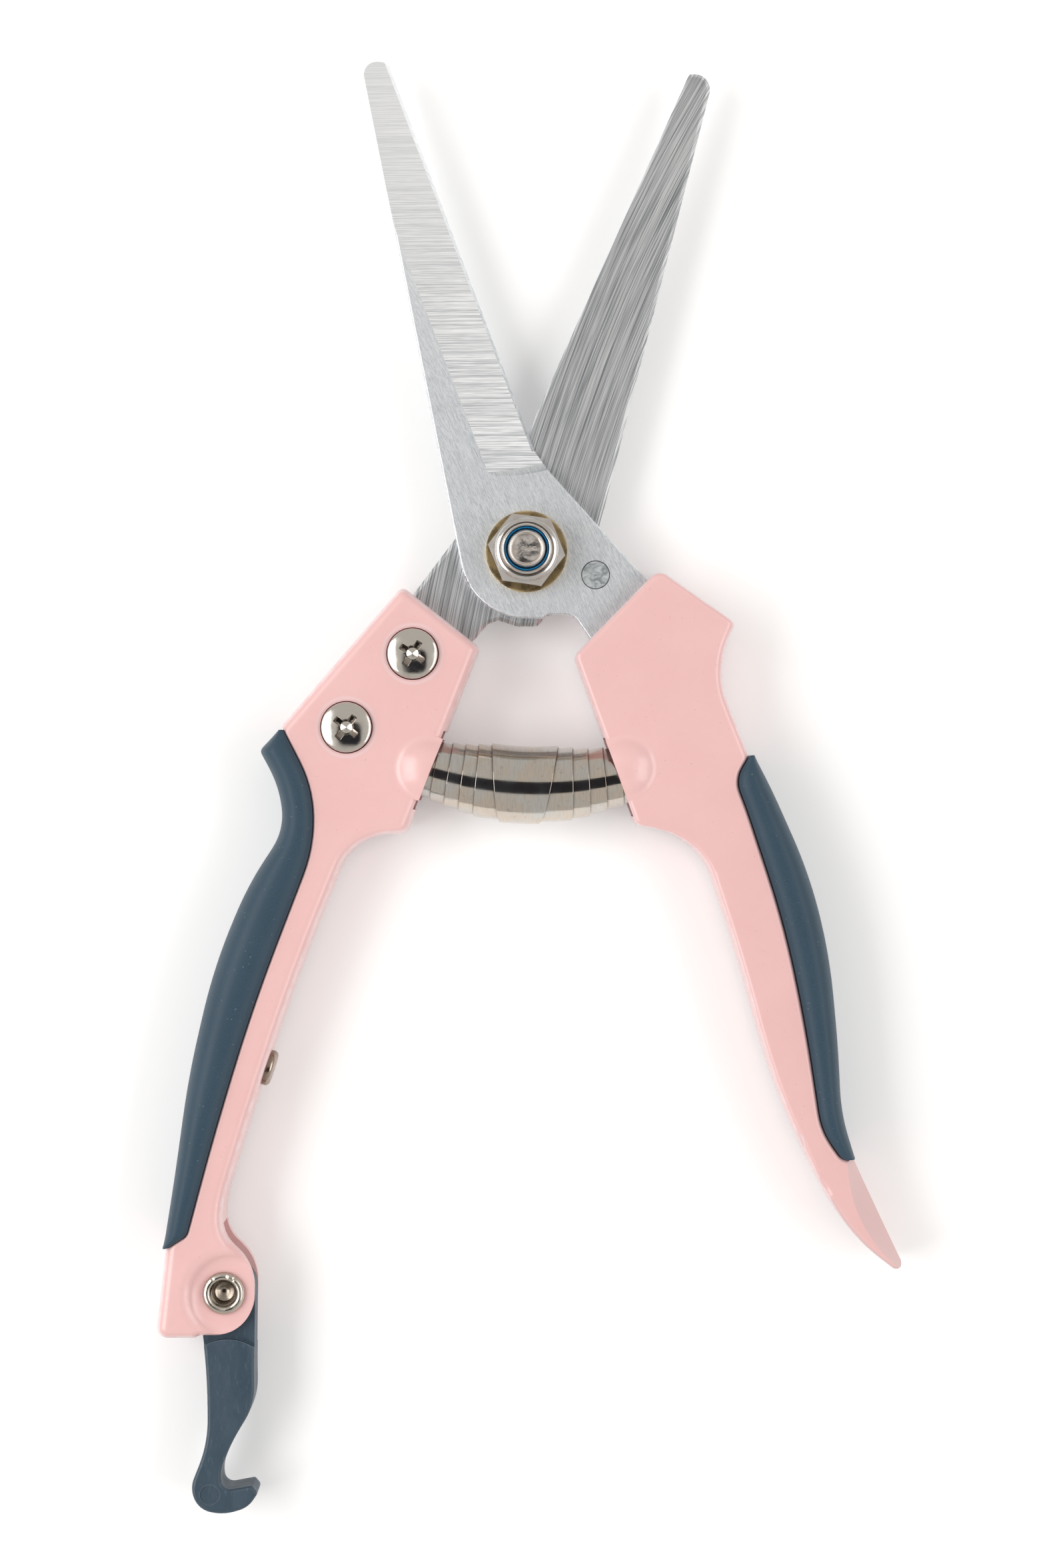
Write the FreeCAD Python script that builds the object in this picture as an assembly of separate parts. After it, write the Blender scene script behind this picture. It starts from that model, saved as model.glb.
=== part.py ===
import FreeCAD, Part
import math
import os

# Floral snips, lying on their back. Millimetres. The origin is on the pivot axis at the
# surface that the snips lie on, +Z is up along that axis and the blades point to +Y.
# The snips are open: the volute spring holds the stop pin against its stop.

V = FreeCAD.Vector

# Heights above the surface.
MATE_Z = 7.0                        # plane where the two blades slide on each other
BLADE_T = 2.5
HANDLE_Z = (1.5, 12.5)              # faces of both handle castings
GRIP_Z = (0.0, 14.0)                # crowns of the soft grips
REAR_Z = (MATE_Z - BLADE_T, MATE_Z)
FRONT_Z = (MATE_Z, MATE_Z + BLADE_T)

# Pivot: an M6 bolt with its head underneath and a lock nut on top.
PIVOT_D = 6.0
HEX_AF = 10.0
HEAD_H = 4.0
HEAD_WASHER_T = 0.5
NUT_WASHER_T = 1.0
WASHER_OD = 12.1
NUT_H = 6.0
NUT_HEX_H = 4.0
NUT_TURN = -8.0                     # degrees from +X to one corner of the nut
NYLON_OD = 7.4
CROWN_OD = 9.0
BOLT_END = 0.5                      # how far the bolt stands out of its nut
RUN_FIT = 0.05                      # radial clearance of a running fit

# Stop: a pin in the front blade runs in a notch round the rear blade's lobe.
STOP_R = 10.85
STOP_ANGLE = -18.3
STOP_D = 4.3
CLOSING = 36.8                      # degrees from open to closed

# Screws that hold each blade in its handle.
SCREW_D = 4.0
SCREW_HEAD_D = 7.5
SCREW_HEAD_H = 2.3
SCREW_SEAT = 0.9                    # depth of the counterbore
SCREW_FLOOR = 1.6                   # what the blind screw hole leaves of the handle
LEFT_SCREWS = {"upper": (-16.9, -15.3), "lower": (-26.7, -26.2)}
RIGHT_SCREWS = {"upper": (16.4, -15.9), "lower": (24.9, -26.9)}

# Volute spring: its axis is a shallow arc between two pockets in the handles.
SPRING_ARC = (1.7, 23.7, 58.5)      # centre x, y and radius of the axis
SPRING_OD = 11.6
SPRING_STRIP = 0.35
SPRING_STEPS = 5                    # bands on each side of the middle one
SPRING_BANDS = (4.7, 2.7)           # degrees: half of the middle band, each further band
POCKET_W = 12.4                     # pocket in plan, across the spring
POCKET_Z = (2.1, 11.9)
POCKET_DEPTH = 5.1
BULGES = {-1: (-14.8, -32.3), 1: (14.7, -32.2)}   # a ball bulges both faces over the pocket
BULGE_R = 7.0
BULGE_FOOT_R = 1.9                  # fillet from the bulge to the face

# Lock hook, on a hollow rivet in the clevis at the end of the left handle.
RIVET = (-45.0, -110.2)
RIVET_D = 4.4
RIVET_HOLE_D = 3.1
RIVET_RIM_D = 6.2
EAR_FACE_Z = (2.8, 11.2)
SCOOP = (-43.9, -110.6)             # centre of the scoop that thins each ear
SCOOP_R = (4.4, 7.7)                # its flat floor and its rim
SLOT_Z = (4.4, 9.6)
HOOK_CORE_Z = (4.8, 9.5)
HOOK_PAD_Z = (3.7, 10.4)
WASHER_Z = (4.4, 4.7)

# Plan outlines. A corner is (x, y) or (x, y, radius): see rounded_face.
FRONT_BLADE = [
    (-24.8, 73.6, 2.1), (-20.75, 73.45, 1.6), (1.25, 15.1, 1.2), (1.95, 14.15, 0.3),
    (3.35, 12.1, 2.0), (16.0, -2.0, 2.0), (26.6, -12.4, 3.0), (28.0, -25.0, 3.0),
    (24.8, -31.6, 2.0), (21.2, -27.6, 2.0), (9.6, -13.1, 2.0), (7.0, -9.3, 2.2),
    (3.1, -9.2, 0.6), (2.4, -9.85, 0.6), (-8.2, -9.75, 9.9),
]
REAR_BLADE = [
    (24.25, 71.9, 0.7), (28.25, 72.1, 2.3), (9.2, -2.9, 3.0), (5.6, -9.0, 3.0),
    (3.0, -9.3, 0.6), (1.6, -10.9, 0.8), (-1.5, -10.9, 1.5), (-4.2, -10.0, 1.0),
    (-5.8, -10.5, 1.5), (-13.0, -18.9, 2.0), (-25.5, -30.2, 2.0), (-29.2, -30.2, 3.0),
    (-32.4, -25.2, 3.0), (-18.4, -8.0, 3.0), (-3.6, 11.6, 1.5), (-1.9, 13.8, 1.0),
]
FRONT_EDGE = ((1.25, 15.1), (-20.75, 73.45))     # cutting edge, from its foot to the tip
REAR_EDGE = ((-1.9, 13.8), (24.25, 71.9))
BEVEL_W = 8.1
BEVEL_LAND = 0.7                    # blade thickness that the bevel leaves at the edge
EDGE_W = 0.5                        # width of the small cutting bevel
PLUNGE_R = 1.6                      # radius that the grinding wheel leaves at the foot

LEFT_SEAM = [(-36.4, -26.0, 0), (-31.7, -35.2), (-31.6, -44.0), (-40.8, -68.0),
             (-46.8, -88.0), (-50.4, -101.6, 1.6), (-53.6, -103.6, 0)]
RIGHT_SEAM = [(33.0, -30.5, 0), (31.0, -34.0), (32.6, -38.0), (38.2, -55.0), (41.4, -70.0),
              (43.8, -86.0), (46.8, -90.3, 1.6), (48.6, -90.3, 0)]
LEFT_HANDLE = LEFT_SEAM + [
    (-55.1, -116.9, 1.6), (-49.3, -116.9, 0.5), (-48.5, -116.5, 0.5), (-40.5, -116.5, 5.8),
    (-40.5, -106.1), (-45.2, -101.6), (-45.2, -97.0), (-40.2, -80.6), (-33.9, -62.0),
    (-27.0, -45.0), (-23.0, -42.2), (-17.9, -41.9, 1.2), (-7.0, -14.3, 0.9),
    (-18.5, -5.2, 1.0),
]
RIGHT_HANDLE = [
    (19.6, -2.7, 1.9), (31.0, -10.7, 0), (29.0, -15.5), (29.0, -20.5),
] + RIGHT_SEAM + [
    (57.2, -108.6, 0.9), (48.0, -101.6), (41.6, -90.0), (36.3, -77.2),
    (31.8, -60.5), (26.9, -45.8), (22.3, -41.9), (16.3, -40.7, 1.2), (7.1, -15.5, 1.2),
]
LEFT_GRIP = [
    (-54.3, -104.3, 0), (-52.3, -91.5), (-50.6, -78.5), (-46.8, -62.0), (-41.6, -49.5),
    (-36.2, -41.5), (-37.0, -35.0), (-39.9, -29.6, 0.3),
]
RIGHT_GRIP = [
    (49.1, -90.6, 0), (47.0, -83.6), (46.6, -74.0), (45.3, -60.0), (42.3, -48.0),
    (36.5, -35.0), (33.8, -30.0, 0),
]
# Levels of a grip: height, then how far its seam side and its outer side draw in there,
# as a share of the grip's local width.
GRIP_LEVELS = [
    (0.0, 0.26, 0.46), (0.7, 0.10, 0.30), (1.7, 0.0, 0.17), (4.0, 0.0, 0.045), (7.0, 0.0, 0.0),
    (10.0, 0.0, 0.045), (12.3, 0.0, 0.17), (13.3, 0.10, 0.30), (14.0, 0.26, 0.46),
]
LEFT_RIB = [(-34.6, -31.2, 0.6), (-31.0, -38.0), (-31.0, -44.0), (-46.0, -88.0), (-49.8, -99.0, 1.0),
            (-51.6, -96.5, 1.0), (-47.6, -78.0), (-42.0, -58.5), (-34.9, -43.5), (-35.0, -36.5)]
RIGHT_RIB = [(31.6, -35.5, 1.0), (34.0, -46.0), (38.0, -60.0), (43.6, -84.0, 0.5), (45.8, -84.5, 0.5),
             (44.3, -68.0), (41.5, -52.5), (35.6, -37.0, 1.0)]
RIB_Z = (4.0, 10.0)

SLOT = [(-36.0, -98.0, 0), (-43.0, -98.0, 2.0), (-50.3, -104.8, 3.0), (-50.3, -112.0, 2.2),
        (-49.0, -114.2, 1.0), (-49.0, -119.0, 0), (-36.0, -119.0, 0)]
HOOK = [
    (-49.7, -105.8, 4.25), (-40.4, -105.8, 4.25), (-40.6, -121.5), (-40.5, -127.0),
    (-43.9, -132.6), (-45.7, -137.0), (-45.3, -139.9, 1.4), (-40.9, -139.1, 0.5),
    (-40.0, -140.2, 0.6), (-41.5, -142.4), (-45.2, -143.5), (-48.8, -142.7), (-50.2, -139.6),
    (-47.5, -132.8), (-47.6, -122.0),
]
PAD_START = ((-49.5, -119.3), (-45.2, -117.3), (-39.0, -120.0))
EJECTOR = (-47.2, -140.4, 1.45)

# Facets on the right handle's tail: a curved ridge on each face, and the straight line,
# at the middle height, that the facets run out to.
TAIL_RIDGE = ((47.6, -89.4), (49.2, -98.4), (55.0, -106.2))
TAIL_FOOT = ((51.3, -89.0), (59.6, -106.8))

GRIP_SCREW = (-39.0, -77.0)         # where its axis meets the handle's inner wall
GRIP_SCREW_AXIS = (0.952, -0.306)
GRIP_SCREW_HEAD = (5.4, 1.2)
GRIP_SCREW_SHANK = (3.0, 8.5)


def rounded_face(corners, z):
    """Flat face at height z, bounded by straight legs with rounded corners.

    A radius of 0 leaves the corner sharp. Without a radius, the arc takes half of the
    shorter leg, so that a row of such corners makes one smooth curve.
    """
    count = len(corners)
    points = [V(c[0], c[1], z) for c in corners]
    legs = [points[(i + 1) % count] - points[i] for i in range(count)]
    arcs = []
    for i, corner in enumerate(corners):
        before, after = legs[i - 1], legs[i]
        turn = before.getAngle(after)
        if len(corner) == 2:
            reach = min(before.Length, after.Length) / 2
        else:
            reach = corner[2] * math.tan(turn / 2)
        start = points[i] - V(before).normalize() * reach
        end = points[i] + V(after).normalize() * reach
        inward = V(after).normalize() - V(before).normalize()
        radius = reach / math.tan(turn / 2)
        depth = radius / math.cos(turn / 2) - radius
        arcs.append((start, points[i] + inward.normalize() * depth, end, reach))
    edges = []
    for i in range(count):
        start, middle, end, reach = arcs[i]
        if reach > 1e-6:
            edges.append(Part.Arc(start, middle, end).toShape())
        following = arcs[(i + 1) % count][0]
        if (following - end).Length > 1e-5:
            edges.append(Part.LineSegment(end, following).toShape())
    return Part.Face(Part.Wire(edges))


def prism(corners, z_range):
    low, high = z_range
    return rounded_face(corners, low).extrude(V(0, 0, high - low))


def cylinder(centre, diameter, z_range):
    low, high = z_range
    return Part.makeCylinder(diameter / 2, high - low, V(centre[0], centre[1], low))


def revolved(profile, centre=(0, 0)):
    """Solid of revolution about a vertical axis; profile is a list of (radius, z)."""
    points = [V(radius, 0, z) for radius, z in profile]
    face = Part.Face(Part.makePolygon(points + points[:1]))
    solid = face.revolve(V(0, 0, 0), V(0, 0, 1), 360)
    solid.translate(V(centre[0], centre[1], 0))
    return solid


def hexagon(across_flats, z_range, turn=0.0):
    corner = across_flats / math.sqrt(3)
    angles = [math.radians(turn + 60 * i) for i in range(6)]
    points = [V(corner * math.cos(a), corner * math.sin(a), z_range[0]) for a in angles]
    face = Part.Face(Part.makePolygon(points + points[:1]))
    return face.extrude(V(0, 0, z_range[1] - z_range[0]))


def edges_at(shape, z, wanted=lambda middle: True):
    """Edges that lie flat at height z and whose middle point passes the test."""
    found = []
    for edge in shape.Edges:
        if all(abs(vertex.Z - z) < 1e-4 for vertex in edge.Vertexes):
            middle = edge.valueAt((edge.FirstParameter + edge.LastParameter) / 2)
            if abs(middle.z - z) < 1e-4 and wanted(middle):
                found.append(edge)
    return found


def screw_heights(outward):
    """Seat of a blade screw's head and the blind end of its hole."""
    if outward > 0:
        return HANDLE_Z[1] - SCREW_SEAT, HANDLE_Z[0] + SCREW_FLOOR
    return HANDLE_Z[0] + SCREW_SEAT, HANDLE_Z[1] - SCREW_FLOOR


def screw_hole(centre, outward):
    """Tool for one blade screw: a shallow counterbore in the face and a blind hole."""
    seat, end = screw_heights(outward)
    hole = cylinder(centre, SCREW_D, sorted((seat, end)))
    return hole.fuse(cylinder(centre, SCREW_HEAD_D + 0.3, sorted((seat, seat + outward * 3))))


def spring_frame(angle):
    """Point and direction on the spring's axis, degrees from its middle, + to the right."""
    centre_x, centre_y, radius = SPRING_ARC
    a = math.radians(angle)
    point = V(centre_x + radius * math.sin(a), centre_y - radius * math.cos(a), MATE_Z)
    return point, V(math.cos(a), math.sin(a), 0)


def spring_pocket(side):
    """Blind slot for one end of the spring: side is -1 left, +1 right."""
    wall, axis = spring_frame(side * 13.8)
    axis = axis * side
    across = V(-axis.y, axis.x, 0) * (POCKET_W / 2)
    mouth, end = wall - axis * 6, wall + axis * POCKET_DEPTH
    corners = [mouth - across, end - across, end + across, mouth + across]
    radii = [0, 1.5, 1.5, 0]
    return prism([(p.x, p.y, radius) for p, radius in zip(corners, radii)], POCKET_Z)


def spring_bulge(side):
    """Ball over the pocket, with a fillet foot on both faces of the handle."""
    face = HANDLE_Z[1] - MATE_Z
    foot = math.sqrt((BULGE_R + BULGE_FOOT_R) ** 2 - (face + BULGE_FOOT_R) ** 2)
    share = BULGE_R / (BULGE_R + BULGE_FOOT_R)
    half_turn = math.atan2(foot, face + BULGE_FOOT_R) / 2
    crown = V(BULGE_R * math.sin(half_turn), 0, BULGE_R * math.cos(half_turn))
    join = V(foot * share, 0, (face + BULGE_FOOT_R) * share)
    hollow = V(foot - BULGE_FOOT_R * math.sin(half_turn), 0,
               face + BULGE_FOOT_R - BULGE_FOOT_R * math.cos(half_turn))
    top, ground = V(0, 0, BULGE_R), V(foot, 0, face)
    upper = [Part.Arc(top, crown, join).toShape(), Part.Arc(join, hollow, ground).toShape()]
    rim = Part.makePolygon([ground, V(foot, 0, 0), V(0, 0, 0), top]).Edges
    half = Part.Face(Part.Wire(upper + rim)).revolve(V(0, 0, 0), V(0, 0, 1), 360)
    ball = half.fuse(half.mirror(V(0, 0, 0), V(0, 0, 1))).removeSplitter()
    ball.translate(V(BULGES[side][0], BULGES[side][1], MATE_Z))
    return ball


def casting(outline, side, edge_radii, tang, screws, outward):
    """Handle casting: outline with rounded edges, spring bulge and pocket, blade slot, holes."""
    body = prism(outline, HANDLE_Z)
    for radius, wanted in edge_radii:
        edges = edges_at(body, HANDLE_Z[0], wanted) + edges_at(body, HANDLE_Z[1], wanted)
        body = body.makeFillet(radius, edges)
    bulge = spring_bulge(side).common(prism(outline, GRIP_Z))
    body = body.fuse(bulge).cut(spring_pocket(side)).cut(tang)
    for centre in screws.values():
        body = body.cut(screw_hole(centre, outward))
    return body


def bevel_tool(edge, width, edge_z, face_z, foot_axis, foot_radius):
    """What a grinding wheel takes off beside a cutting edge.

    The bevel falls from face_z, width inside the edge, to edge_z on the edge itself.
    foot_axis is the plan direction of the wheel's axis where the bevel ends at its foot.
    """
    foot, tip = V(edge[0][0], edge[0][1], 0), V(edge[1][0], edge[1][1], 0)
    along = (tip - foot).normalize()
    side = V(0, 0, 1 if face_z > edge_z else -1)
    inward = V(-along.y, along.x, 0)
    if inward.x * foot_axis[0] + inward.y * foot_axis[1] < 0:
        inward = inward * -1
    slope = (face_z - edge_z) / width
    normal = (side - inward * abs(slope)).normalize()
    axis = V(foot_axis[0], foot_axis[1], 0).normalize()
    span = width / axis.dot(inward)

    def on_plane(point):
        depth = (point - foot).dot(inward)
        return V(point.x, point.y, edge_z + slope * depth)

    inner = on_plane(foot + axis * span)
    outer = on_plane(foot - axis * 4)
    reach = along * ((tip - foot).Length + 12)
    corners = [inner, outer, on_plane(outer + reach), on_plane(inner + reach)]
    tool = Part.Face(Part.makePolygon(corners + corners[:1])).extrude(normal * 6)
    if foot_radius:
        start = outer + normal * foot_radius
        line = inner - outer
        tool = tool.fuse(Part.makeCylinder(foot_radius, line.Length, start, line))
    return tool


def build_front_blade():
    """Blade of the right handle: bevel on top, flat face underneath."""
    low, high = FRONT_Z
    blade = prism(FRONT_BLADE, FRONT_Z)
    blade = blade.makeFillet(0.25, edges_at(blade, high))
    foot = (FRONT_EDGE[0][0] + 1.0, FRONT_EDGE[0][1] - 1.5)
    line = (foot, FRONT_EDGE[1])
    blade = blade.cut(bevel_tool(line, BEVEL_W, low + BEVEL_LAND, high, (-0.99, -0.2), PLUNGE_R))
    lip = low + BEVEL_LAND + (high - low - BEVEL_LAND) * EDGE_W / BEVEL_W
    blade = blade.cut(bevel_tool(FRONT_EDGE, EDGE_W, low + 0.1, lip, (-1, 0), 0))
    blade = blade.cut(cylinder((0, 0), PIVOT_D + 2 * RUN_FIT, FRONT_Z))
    blade = blade.cut(cylinder(stop_centre(), STOP_D, FRONT_Z))
    for centre in RIGHT_SCREWS.values():
        blade = blade.cut(cylinder(centre, SCREW_D, FRONT_Z))
    return blade


def build_rear_blade():
    """Blade of the left handle: flat face on top, bevel underneath, notch for the stop."""
    low, high = REAR_Z
    blade = prism(REAR_BLADE, REAR_Z)
    spine = edges_at(blade, high, lambda middle: middle.x > 11 and middle.y > 11)
    blade = blade.makeChamfer(0.5, [edge for edge in spine if edge.Length > 20])
    line = ((REAR_EDGE[0][0] - 0.8, REAR_EDGE[0][1] - 1.8), REAR_EDGE[1])
    blade = blade.cut(bevel_tool(line, BEVEL_W, high - BEVEL_LAND, low, (0.99, -0.2), PLUNGE_R))
    lip = high - BEVEL_LAND - (high - low - BEVEL_LAND) * EDGE_W / BEVEL_W
    blade = blade.cut(bevel_tool(REAR_EDGE, EDGE_W, high - 0.1, lip, (1, 0), 0))
    blade = blade.cut(cylinder((0, 0), PIVOT_D, REAR_Z))
    blade = blade.cut(stop_notch())
    for centre in LEFT_SCREWS.values():
        blade = blade.cut(cylinder(centre, SCREW_D, REAR_Z))
    return blade


def stop_centre():
    angle = math.radians(STOP_ANGLE)
    return (STOP_R * math.cos(angle), STOP_R * math.sin(angle))


def stop_notch():
    """Ring sector that the stop pin sweeps from open to closed, with a little clearance."""
    half_pin = math.degrees(math.asin((STOP_D / 2 + 0.05) / STOP_R))
    start = STOP_ANGLE - CLOSING - half_pin
    sweep = CLOSING + 2 * half_pin
    inner, outer = STOP_R - STOP_D / 2 - 0.2, STOP_R + STOP_D
    height = REAR_Z[1] - REAR_Z[0]
    ring = Part.makeCylinder(outer, height, V(0, 0, REAR_Z[0]), V(0, 0, 1), sweep)
    ring = ring.cut(cylinder((0, 0), 2 * inner, REAR_Z))
    ring.rotate(V(0, 0, 0), V(0, 0, 1), start)
    return ring


def build_left_handle():
    seam_end = LEFT_SEAM[-1]
    edge_radii = [
        (1.6, lambda m: m.x < -53.7 and m.y < seam_end[1]),
        (0.5, lambda m: not (m.x < -53.0 and m.y < seam_end[1])),
    ]
    body = casting(LEFT_HANDLE, -1, edge_radii, prism(REAR_BLADE, REAR_Z), LEFT_SCREWS, 1)
    body = body.fuse(prism(LEFT_RIB, RIB_Z))
    body = body.cut(prism(SLOT, SLOT_Z))
    for floor, face in zip(EAR_FACE_Z, HANDLE_Z):
        body = body.cut(ear_scoop(floor, face))
    body = body.cut(cylinder(RIVET, RIVET_D, HANDLE_Z))
    return body.cut(grip_screw_shank()).cut(grip_screw_head(3.0))


def ear_scoop(floor, face):
    """Tool for the scoop in one ear: flat floor, then an S-shaped rise to the face."""
    inner, outer = SCOOP_R
    reach, rise = (outer - inner) / 2, (face - floor) / 2
    radius = (reach ** 2 + rise ** 2) / (2 * rise)
    half_turn = math.asin(reach / abs(radius)) / 2
    along, up = abs(radius) * math.sin(half_turn), radius * (1 - math.cos(half_turn))
    start, middle, end = V(inner, 0, floor), V(inner + reach, 0, floor + rise), V(outer, 0, face)
    hollow = Part.Arc(start, start + V(along, 0, up), middle).toShape()
    crest = Part.Arc(middle, end - V(along, 0, up), end).toShape()
    outside = face + rise
    rest = [end, V(outer, 0, outside), V(0, 0, outside), V(0, 0, floor), start]
    profile = Part.Face(Part.Wire([hollow, crest] + Part.makePolygon(rest).Edges))
    scoop = profile.revolve(V(0, 0, 0), V(0, 0, 1), 360)
    scoop.translate(V(SCOOP[0], SCOOP[1], 0))
    return scoop


def tail_facet(face):
    """Tool for one facet of the tail: ruled from the ridge on the face to the foot line."""
    ridge = Part.Arc(*[V(x, y, face) for x, y in TAIL_RIDGE]).toShape()
    foot = Part.LineSegment(*[V(x, y, MATE_Z) for x, y in TAIL_FOOT]).toShape()
    return Part.makeRuledSurface(ridge, foot).extrude(V(4, 1, 3 if face > MATE_Z else -3))


def build_right_handle():
    def neck(middle):
        return middle.x > 28 and -30.4 < middle.y < -10.9

    edge_radii = [(1.2, neck), (0.8, lambda middle: not neck(middle))]
    body = casting(RIGHT_HANDLE, 1, edge_radii, prism(FRONT_BLADE, FRONT_Z), RIGHT_SCREWS, -1)
    for face in HANDLE_Z:
        body = body.cut(tail_facet(face))
    return body.fuse(prism(RIGHT_RIB, RIB_Z))


def grip_screw_shank():
    diameter, length = GRIP_SCREW_SHANK
    base, axis = grip_screw_seat()
    return Part.makeCylinder(diameter / 2, length, base, axis * -1)


def grip_screw_head(height):
    base, axis = grip_screw_seat()
    return Part.makeCylinder(GRIP_SCREW_HEAD[0] / 2, height, base, axis)


def grip_screw_seat():
    return V(GRIP_SCREW[0], GRIP_SCREW[1], MATE_Z), V(GRIP_SCREW_AXIS[0], GRIP_SCREW_AXIS[1], 0)


def build_grip(seam, outer, rib, screw=None):
    """Soft grip: a crowned slug between the handle's seam and its own outer line."""
    wires = []
    for z, seam_in, outer_in in GRIP_LEVELS:
        corners = drawn_in(seam, outer, seam_in) + drawn_in(outer, seam, outer_in)
        wires.append(rounded_face(corners, z).OuterWire)
    body = Part.makeLoft(wires, True, True).cut(prism(rib, RIB_Z))
    return body.cut(screw) if screw else body


def drawn_in(corners, opposite, share):
    """Corners of one side, moved by a share of the way to the nearest leg opposite."""
    moved = []
    for corner in corners:
        point = V(corner[0], corner[1], 0)
        feet = [foot_on_leg(point, a, b) for a, b in zip(opposite, opposite[1:])]
        foot = min(feet, key=lambda other: (other - point).Length)
        place = point + (foot - point) * share
        moved.append((place.x, place.y) + tuple(corner[2:]))
    return moved


def foot_on_leg(point, start, end):
    a, b = V(start[0], start[1], 0), V(end[0], end[1], 0)
    leg = b - a
    part = (point - a).dot(leg) / leg.dot(leg)
    return a + leg * min(max(part, 0), 1)


def build_blade_screw(centre, outward):
    """Pan-head cross-recess screw; outward is +1 when its head is on the upper face."""
    seat, end = screw_heights(outward)
    radius = SCREW_HEAD_D / 2
    heights = [(radius, 0), (radius, 0.9), (radius * 0.94, 1.45), (radius * 0.78, 1.95),
               (radius * 0.5, 2.22), (0, SCREW_HEAD_H)]
    head = revolved([(0, seat)] + [(r, seat + outward * h) for r, h in heights[:-1]]
                    + [(0, seat + outward * SCREW_HEAD_H)], centre)
    screw = head.fuse(cylinder(centre, SCREW_D, sorted((seat, end + outward * 0.3))))
    top = seat + outward * SCREW_HEAD_H
    return screw.cut(cross_recess(centre, top, outward))


def cross_recess(centre, top, outward):
    """Tapered cross with a round core, sunk from the top of a screw head."""
    depth, reach = 1.5, 2.1
    low, high = sorted((top + outward, top - outward * depth))
    tool = cylinder(centre, 1.5, (low, high))
    for turn in (45, 135):
        bar = Part.makeBox(2 * reach, 0.85, high - low, V(-reach, -0.425, low))
        bar.rotate(V(0, 0, 0), V(0, 0, 1), turn)
        bar.translate(V(centre[0], centre[1], 0))
        tool = tool.fuse(bar)
    return tool


def build_pivot_bolt():
    top = FRONT_Z[1] + NUT_WASHER_T + NUT_H + BOLT_END
    head = hexagon(HEX_AF, (0, HEAD_H)).common(hex_chamfer(0, HEAD_H, -1))
    radius = PIVOT_D / 2
    shank = revolved([(0, HEAD_H), (radius, HEAD_H), (radius, top - 0.6), (radius - 0.5, top), (0, top)])
    return head.fuse(shank)


def hex_chamfer(low, high, outward):
    """Turned blank that leaves the chamfer on a hexagon's free face."""
    full, face = HEX_AF / math.sqrt(3) + 0.1, HEX_AF / 2 - 0.15
    rise = (full - face) * math.tan(math.radians(25))
    if outward < 0:
        return revolved([(0, low), (face, low), (full, low + rise), (full, high), (0, high)])
    return revolved([(0, low), (full, low), (full, high - rise), (face, high), (0, high)])


def build_pivot_nut():
    """Prevailing-torque nut: hexagon with a turned crown that holds the nylon ring."""
    low = FRONT_Z[1] + NUT_WASHER_T
    shoulder, top = low + NUT_HEX_H, low + NUT_H
    body = hexagon(HEX_AF, (low, shoulder), NUT_TURN)
    body = body.common(hex_chamfer(low, shoulder, 1)).common(hex_chamfer(low, shoulder + 9, -1))
    outer, lip = CROWN_OD / 2, NYLON_OD / 2 - 0.35
    crown = [(0, shoulder - 0.5), (outer, shoulder - 0.5), (outer, top - 0.7), (outer - 0.25, top - 0.2),
             (outer - 0.7, top), (lip, top - 0.15), (lip, top - 0.6), (0, top - 0.6)]
    body = body.fuse(revolved(crown))
    body = body.cut(cylinder((0, 0), PIVOT_D, (low, top)))
    return body.cut(cylinder((0, 0), NYLON_OD, (shoulder - 0.1, top - 0.6)))


def build_nylon_ring():
    low, top = FRONT_Z[1] + NUT_WASHER_T + NUT_HEX_H - 0.1, FRONT_Z[1] + NUT_WASHER_T + NUT_H
    inner, outer, lip = PIVOT_D / 2, NYLON_OD / 2, NYLON_OD / 2 - 0.4
    return revolved([(inner, low), (outer, low), (outer, top - 0.65), (lip, top - 0.65),
                     (lip - 0.1, top - 0.15), (inner + 0.15, top - 0.1), (inner, top - 0.3)])


def ring(outer_d, inner_d, z_range, centre=(0, 0)):
    return cylinder(centre, outer_d, z_range).cut(cylinder(centre, inner_d, z_range))


def build_hook():
    """Lock hook: an eye that turns in the clevis and a thicker pad beyond the ears."""
    core = prism(HOOK, HOOK_CORE_Z)
    pad = prism(HOOK, HOOK_PAD_Z)
    pad = pad.makeFillet(0.5, edges_at(pad, HOOK_PAD_Z[0]) + edges_at(pad, HOOK_PAD_Z[1]))
    start, middle, end = [V(x, y, 0) for x, y in PAD_START]
    arc = Part.Arc(start, middle, end).toShape()
    box = [end, V(-30, -120, 0), V(-30, -150, 0), V(-60, -150, 0), V(-60, -119.3, 0), start]
    below = Part.Face(Part.Wire([arc] + Part.makePolygon(box).Edges)).extrude(V(0, 0, 20))
    hook = core.fuse(pad.common(below))
    hook = hook.cut(cylinder(RIVET, RIVET_D + 2 * RUN_FIT, HOOK_PAD_Z))
    x, y, radius = EJECTOR
    return hook.cut(cylinder((x, y), 2 * radius, (HOOK_PAD_Z[1] - 0.15, HOOK_PAD_Z[1] + 1)))


def build_rivet():
    """Semi-tubular rivet: domed head underneath, rolled rim round its hole on top."""
    low, high = EAR_FACE_Z
    shank, rim, hole = RIVET_D / 2, RIVET_RIM_D / 2, RIVET_HOLE_D / 2
    return revolved([
        (0, low - 1.1), (rim * 0.55, low - 1.0), (rim * 0.9, low - 0.6), (rim, low), (shank, low),
        (shank, high), (rim, high), (rim, high + 0.35), (rim - 0.45, high + 0.8),
        (rim - 1.0, high + 0.95), (hole + 0.35, high + 0.75), (hole, high + 0.3),
        (hole, high - 2.0), (0, high - 2.6),
    ], RIVET)


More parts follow.
